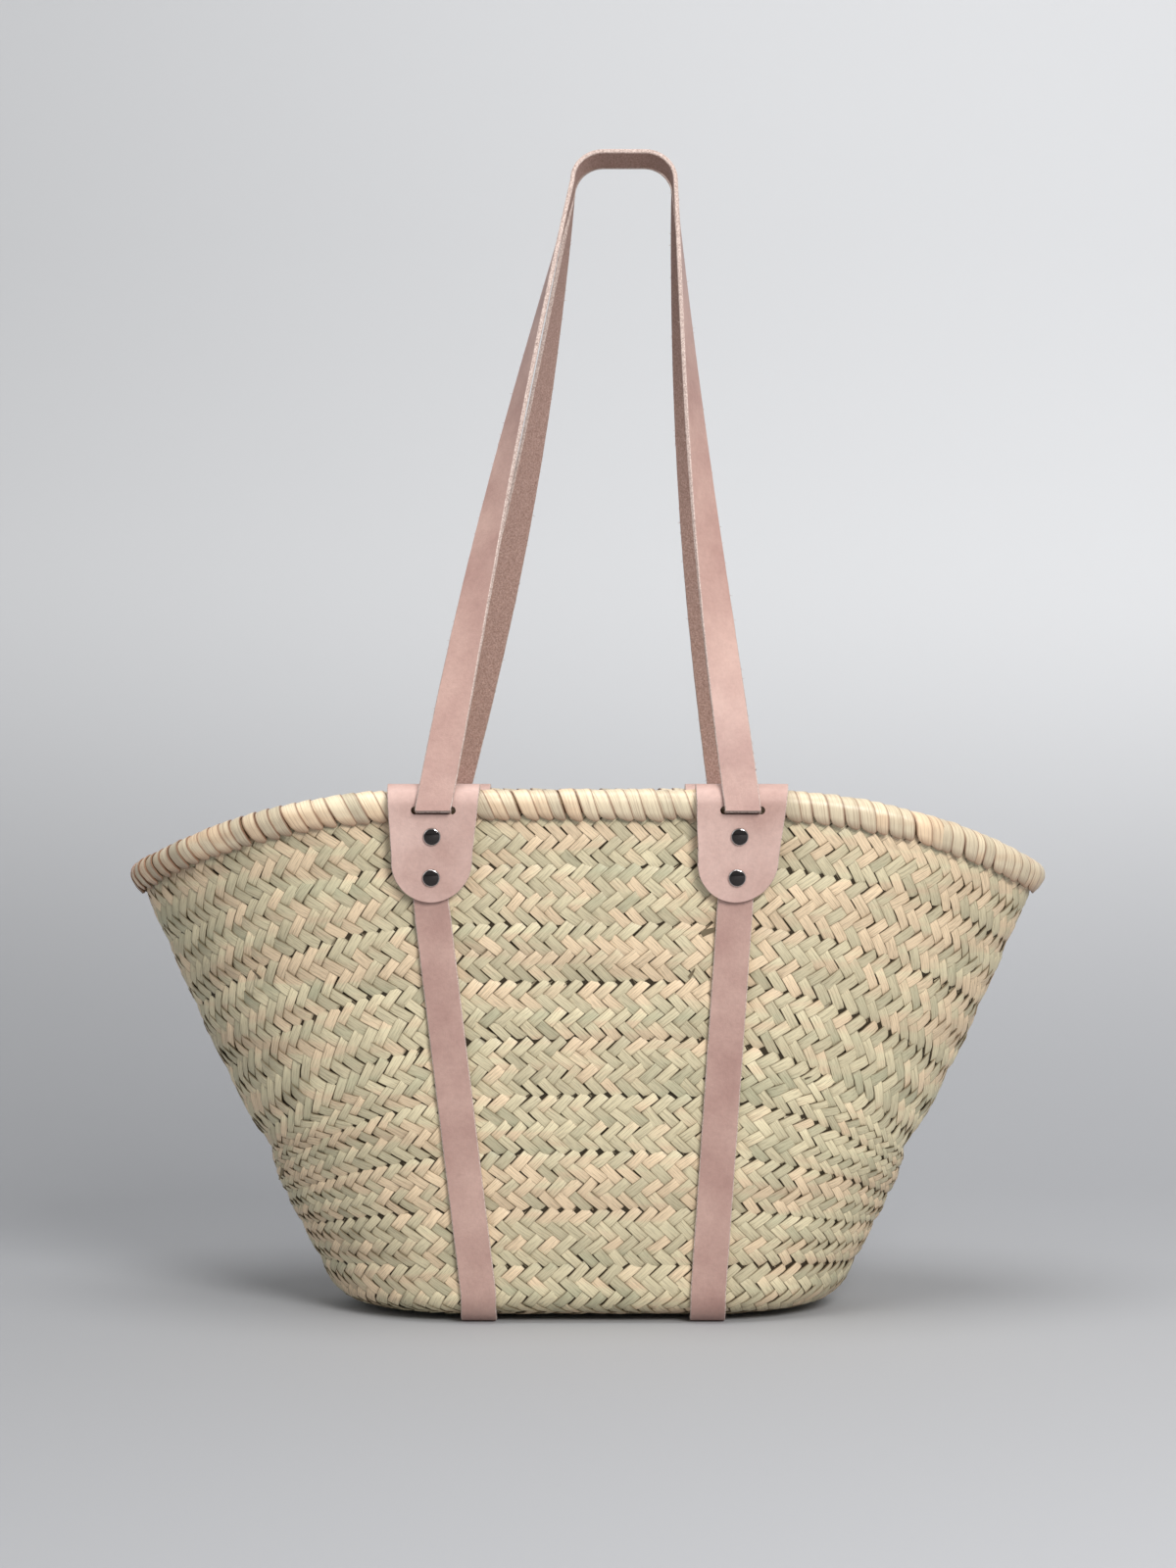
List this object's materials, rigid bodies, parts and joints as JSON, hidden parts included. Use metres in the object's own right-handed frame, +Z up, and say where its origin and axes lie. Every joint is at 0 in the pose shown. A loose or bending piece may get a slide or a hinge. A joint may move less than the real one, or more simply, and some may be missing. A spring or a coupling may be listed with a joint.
{
  "type": "woven market basket",
  "caption": "Wide open-topped market basket of plaited palm leaf with a wrapped rim, leather straps under the base and long leather loop handles.",
  "frame": {"origin": "on the surface that the basket stands on, under the middle of the base", "axes": "+X along the basket to its right end, +Y from the front to the back, +Z up towards the handles"},
  "size_m": [0.538, 0.2406, 0.6767],
  "materials": {
    "palm_leaf_plait": "woven, satin",
    "palm_leaf_core": "bundled leaf, matt",
    "palm_leaf_wrap": "smooth leaf, satin sheen",
    "blush_leather": "smooth grain outside, rough flesh side inside",
    "polished_nickel": "polished"
  },
  "bodies": {
    "basket": {"woven_base": "palm_leaf_plait", "woven_wall": "palm_leaf_plait", "rim_core": "palm_leaf_core", "rim_wrap": "palm_leaf_wrap", "saddle_tab_front_left": "blush_leather", "saddle_tab_front_right": "blush_leather", "saddle_tab_back_left": "blush_leather", "saddle_tab_back_right": "blush_leather", "body_strap_left": "blush_leather", "body_strap_right": "blush_leather", "rivet_caps_front_left": "polished_nickel", "rivet_caps_front_right": "polished_nickel", "rivet_caps_back_left": "polished_nickel", "rivet_caps_back_right": "polished_nickel", "rivet_posts_front_left": "polished_nickel", "rivet_posts_front_right": "polished_nickel", "rivet_posts_back_left": "polished_nickel", "rivet_posts_back_right": "polished_nickel"},
    "front_loop": {"front_handle": "blush_leather"},
    "back_loop": {"back_handle": "blush_leather"}
  },
  "joints": [
    {"name": "front_handle_fold", "type": "hinge", "parent": "basket", "child": "front_loop", "pos_m": [0, -0.119, 0.292], "axis": [1, 0, 0], "range_deg": [0, 145]},
    {"name": "back_handle_fold", "type": "hinge", "parent": "basket", "child": "back_loop", "pos_m": [0, 0.119, 0.292], "axis": [-1, 0, 0], "range_deg": [0, 145]}
  ]
}
